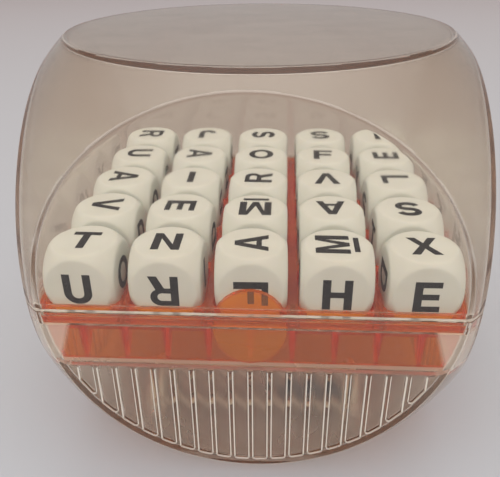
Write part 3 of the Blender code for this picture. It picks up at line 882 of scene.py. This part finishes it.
def letter_outlines():
    """Each letter's width and its outlines, holes included, in shares of the capital height."""
    s, b = STEM_SHARE, BAR_SHARE
    mid_low, mid_high = 0.5 - b / 2, 0.5 + b / 2
    letters = {}
    letters["I"] = s, [[(0, 0), (s, 0), (s, 1), (0, 1)]]
    letters["L"] = 0.74, [[(0, 0), (0.74, 0), (0.74, b), (s, b), (s, 1), (0, 1)]]
    w = 0.85
    left, right = (w - s) / 2, w - (w - s) / 2
    stem = [(left, 1 - b), (left, 0), (right, 0), (right, 1 - b)]
    letters["T"] = w, [[(0, 1), (0, 1 - b)] + stem + [(w, 1 - b), (w, 1)]]
    w = 0.76
    top_arm = [(s, 1 - b), (w, 1 - b), (w, 1), (0, 1)]
    arm = [(s, mid_low), (w - 0.05, mid_low), (w - 0.05, mid_high), (s, mid_high)]
    letters["E"] = w, [[(0, 0), (w, 0), (w, b), (s, b)] + arm + top_arm]
    letters["F"] = w, [[(0, 0), (s, 0)] + arm + top_arm]
    w = 0.85
    crossbar = [(s, 0), (s, mid_low), (w - s, mid_low), (w - s, 0), (w, 0), (w, 1)]
    letters["H"] = w, [[(0, 0)] + crossbar + [(w - s, 1), (w - s, mid_high), (s, mid_high), (s, 1), (0, 1)]]
    left_leg, right_leg = [(0, 0), (s, 0), (s, 0.68)], [(w, 1), (w - s, 1), (w - s, 0.32)]
    letters["N"] = w, [left_leg + [(w - s, 0), (w, 0)] + right_leg + [(s, 1), (0, 1)]]
    w = 1.06
    vee = [(w / 2 - 0.1, 0), (w / 2 + 0.1, 0)]
    feet = [(0, 0), (s, 0), (s, 0.7)] + vee + [(w - s, 0.7), (w - s, 0), (w, 0)]
    letters["M"] = w, [feet + [(w, 1), (w - 0.29, 1), (w / 2, 0.3), (0.29, 1), (0, 1)]]
    w = 0.97
    legs = [(0, 0), (0.235, 0), (0.30, 0.2), (w - 0.30, 0.2), (w - 0.235, 0), (w, 0)]
    hole = [(0.36, 0.36), (w - 0.36, 0.36), (w / 2, 0.76)]
    letters["A"] = w, [legs + [(w / 2 + 0.125, 1), (w / 2 - 0.125, 1)], hole]
    w = 0.93
    inner_vee = [(w, 1), (w - 0.235, 1), (w / 2, 0.27), (0.235, 1), (0, 1)]
    letters["V"] = w, [[(w / 2 - 0.12, 0), (w / 2 + 0.12, 0)] + inner_vee]
    w = 0.9
    lower = [(0, 0), (0.255, 0), (w / 2, 0.345), (w - 0.255, 0), (w, 0), (w / 2 + 0.13, 0.51)]
    upper = [(w - 0.01, 1), (w - 0.26, 1), (w / 2, 0.67), (0.26, 1), (0.01, 1), (w / 2 - 0.13, 0.51)]
    letters["X"] = w, [lower + upper]
    w = 0.84
    bowl_top = 0.37
    outside = [(0, 1)] + arc(w / 2, bowl_top, w / 2, bowl_top, 180, 360) + [(w, 1)]
    inside = arc(w / 2, bowl_top, w / 2 - s, bowl_top - b, 360, 180)
    letters["U"] = w, [outside + [(w - s, 1)] + inside + [(s, 1)]]
    w = 0.99
    letters["O"] = w, [arc(w / 2, 0.5, w / 2, 0.51, 0, 342), arc(w / 2, 0.5, w / 2 - s, 0.51 - b, 0, 342)]
    w = 0.88
    bowl = arc(0.52, 0.71, 0.32, 0.29, -62, 90)
    hole = [(s, 0.57)] + arc(0.50, 0.70, 0.13, 0.13, -90, 90) + [(s, 0.83)]
    letters["R"] = w, [[(0, 0), (s, 0), (s, 0.4), (0.42, 0.4), (0.62, 0), (w, 0)] + bowl + [(0, 1)], hole]
    bowl = arc(0.50, 0.69, 0.32, 0.31, -90, 90)
    hole = [(s, 0.55)] + arc(0.50, 0.69, 0.13, 0.14, -90, 90) + [(s, 0.83)]
    letters["P"] = 0.82, [[(0, 0), (s, 0), (s, 0.38)] + bowl + [(0, 1)], hole]
    bowl = arc(0.40, 0.5, 0.46, 0.5, -90, 90)
    hole = [(s, b)] + arc(0.40, 0.5, 0.25, 0.5 - b, -90, 90) + [(s, 1 - b)]
    letters["D"] = 0.86, [[(0, 0)] + bowl + [(0, 1)], hole]
    pen = (s + b) / 2
    bow = (1.02 - pen) / 4
    upper = arc(0.4, 1.01 - pen / 2 - bow, 0.3, bow, 15, 270)
    lower = arc(0.4, pen / 2 - 0.01 + bow, 0.3, bow, 80, -165)
    letters["S"] = 0.8, [stroke(upper + lower, pen)]
    letters["J"] = 0.7, [stroke([(0.59, 1)] + arc(0.34, 0.34, 0.25, 0.26, 0, -180), s)]
    return letters


def letter_mesh(name, width, outlines, underlined, material):
    """A letter as a thin solid, centred on its own middle, facing +Z from the die's flat."""
    curve = bpy.data.curves.new("outline", "CURVE")
    curve.dimensions = "2D"
    curve.fill_mode = "BOTH"
    curve.extrude = (INK_PROUD + INK_SUNK) / 2
    low = 0
    if underlined:
        low = -(UNDERLINE_GAP_SHARE + UNDERLINE_SHARE)
        left, right = UNDERLINE_INSET_SHARE, width - UNDERLINE_INSET_SHARE
        bar = [(left, low), (right, low), (right, -UNDERLINE_GAP_SHARE), (left, -UNDERLINE_GAP_SHARE)]
        outlines = outlines + [bar]
    for outline in outlines:
        spline = curve.splines.new("POLY")
        spline.points.add(len(outline) - 1)
        for point, (x, y) in zip(spline.points, outline):
            place = Vector((x - width / 2, y - (1 + low) / 2)) * CAPITAL
            point.co = (*place, 0, 1)
        spline.use_cyclic_u = True
    thing = bpy.data.objects.new("outline", curve)
    bpy.context.collection.objects.link(thing)
    mesh = bpy.data.meshes.new_from_object(thing.evaluated_get(bpy.context.evaluated_depsgraph_get()))
    bpy.data.objects.remove(thing)
    mesh.name = name
    mesh.transform(Matrix.Translation((0, 0, DIE_SIDE / 2 + (INK_PROUD - INK_SUNK) / 2)))
    mesh.materials.clear()
    mesh.materials.append(material)
    return mesh


def die_letters(row, column, draw):
    """The letters of one die with their quarter turns: top, front, right, back, left and bottom."""
    spare = [letter + str(draw.randrange(4)) for letter in draw.sample(OTHER_LETTERS, 5)]
    front = FRONT_LETTERS[column] if row == 0 else spare[0]
    return [TOP_LETTERS[row][column], front] + spare[1:]


def die_sides():
    """Each side of a die with the turn that brings it up from a letter facing +Z."""
    upright = Matrix.Rotation(math.tau / 4, 4, "X")
    sides = [("top", Matrix.Identity(4))]
    for k, name in enumerate(("front", "right", "back", "left")):
        sides.append((name, Matrix.Rotation(math.tau / 4 * k, 4, "Z") @ upright))
    return sides + [("bottom", Matrix.Rotation(math.pi, 4, "X"))]


def dice(die_material, ink_material):
    """The 25 dice, each a shared fine mesh with its own letters on its six flats."""
    bm = die_form(DIE_SIDE / 2, DIE_RADIUS, DIE_SEGMENTS, DIE_BANDS, DIE_EDGE_CUT)
    pattern = finish_mesh(bm, "die_pattern", die_material)
    meshes = {}
    for letter, (width, outlines) in letter_outlines().items():
        meshes[letter] = letter_mesh("letter_" + letter, width, outlines, False, ink_material)
        if letter == "M":
            meshes["m"] = letter_mesh("letter_M_underlined", width, outlines, True, ink_material)
    sides = die_sides()
    draw = random.Random(LETTER_SEED)
    for row in range(ROWS):
        for column in range(ROWS):
            node = f"die_r{row + 1}c{column + 1}"
            low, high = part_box(node)
            share = (3 * row + 2 * column) % ROWS / (ROWS - 1) * 2 - 1
            die = bpy.data.objects.new(f"letter_die_r{row + 1}c{column + 1}", pattern.data)
            die.location = (low + high) / 2
            die.rotation_euler.z = DIE_TURN * share
            bpy.context.collection.objects.link(die)
            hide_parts(node)
            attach(die, node)
            for (side, facing), (letter, turns) in zip(sides, die_letters(row, column, draw)):
                stamp = bpy.data.objects.new(f"{die.name}_{side}", meshes[letter])
                stamp.parent = die
                stamp.matrix_local = facing @ Matrix.Rotation(math.tau / 4 * int(turns), 4, "Z")
                bpy.context.collection.objects.link(stamp)
    bpy.data.objects.remove(pattern)


def soften(thing, width):
    """Rounds an object's edges a little, so that they catch the light."""
    weld = thing.modifiers.new("weld", "WELD")
    weld.merge_threshold = WELD * 10
    bevel = thing.modifiers.new("soft_edges", "BEVEL")
    bevel.width = width
    bevel.segments = 2
    bevel.limit_method = "ANGLE"
    bevel.angle_limit = SOFT_EDGE_ANGLE
    bevel.harden_normals = True


def add_sky():
    """Soft light all round, brightest above and behind the camera."""
    world = bpy.data.worlds.new("studio")
    bpy.context.scene.world = world
    world.use_nodes = True
    tree = world.node_tree
    background = tree.nodes["Background"]
    _, y, z = point_place(tree, "Generated")
    tree.links.new(ramp(tree, z, SKY_HEIGHTS, SKY_TONES), background.inputs["Color"])
    tree.links.new(spread(tree, y, *SKY_SPAN, *SKY_STRENGTHS), background.inputs["Strength"])


def add_floor():
    """A pale floor with faint grain, darker in the distance with painted shade."""
    bm = bmesh.new()
    bmesh.ops.create_grid(bm, x_segments=1, y_segments=1, size=FLOOR_HALF)
    mesh = bpy.data.meshes.new("floor")
    bm.to_mesh(mesh)
    bm.free()
    floor = bpy.data.objects.new("floor", mesh)
    bpy.context.collection.objects.link(floor)
    material, tree, shader = node_material("floor_paint")
    depth = spread(tree, point_place(tree)[1], *FLOOR_SPAN, 0, 1)
    # Painted shade: the tone darkens from the front into the distance
    tone = ramp(tree, depth, FLOOR_STOPS, FLOOR_TONES)
    grain = spread(tree, noise(tree, 3, 3), 0.3, 0.7, 0.96, 1.0)
    tree.links.new(blend_colours(tree, grain, FLOOR_GRAIN_TONE, tone), shader.inputs["Base Color"])
    shader.inputs["Roughness"].default_value = 0.6
    mesh.materials.append(material)


def add_lamps():
    """Large soft lamps that point at the middle of the case."""
    for name, place, size, power in LAMPS:
        lamp = bpy.data.objects.new(name, bpy.data.lights.new(name, "AREA"))
        lamp.data.size = size
        lamp.data.energy = power
        lamp.location = place
        lamp.visible_glossy = False
        lamp.visible_transmission = False
        lamp.rotation_euler = (MIDDLE - Vector(place)).to_track_quat("-Z", "Y").to_euler()
        bpy.context.collection.objects.link(lamp)


def add_camera():
    """The camera at the photograph's viewpoint."""
    tilt, yaw, roll = (math.radians(angle) for angle in (TILT, YAW, ROLL))
    forward = Vector((math.sin(yaw) * math.cos(tilt), math.cos(yaw) * math.cos(tilt), -math.sin(tilt)))
    right = forward.cross(Vector((0, 0, 1))).normalized()
    up = right.cross(forward)
    right, up = right * math.cos(roll) + up * math.sin(roll), up * math.cos(roll) - right * math.sin(roll)
    data = bpy.data.cameras.new("camera")
    data.sensor_width = SENSOR_WIDTH
    data.lens = LENS
    data.clip_start = NEAREST
    eye = bpy.data.objects.new("camera", data)
    eye.matrix_world = Matrix((right, up, -forward)).transposed().to_4x4()
    eye.location = EYE
    bpy.context.collection.objects.link(eye)
    bpy.context.scene.camera = eye


add_camera()
add_sky()
add_floor()
add_lamps()
smoky = smoky_clear()
orange = orange_clear()
caps = cream_plastic()
dome(smoky)
base(smoky)
dice(ivory(), ink())
paint(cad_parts["letter_tray"], orange)
soften(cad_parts["letter_tray"], TRAY_SOFTNESS)
paint(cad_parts["timer_frame"], caps)
paint(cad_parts["timer_end_cap"], caps)
paint(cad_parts["timer_glass"], clear_glass())
paint(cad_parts["timer_sand"], fine_sand())
bpy.context.scene.view_settings.view_transform = "Standard"
cycles = bpy.context.scene.cycles
cycles.max_bounces = CLEAR_BOUNCES
cycles.glossy_bounces = CLEAR_BOUNCES
cycles.transmission_bounces = CLEAR_BOUNCES
cycles.transparent_max_bounces = SHADOW_PASSES
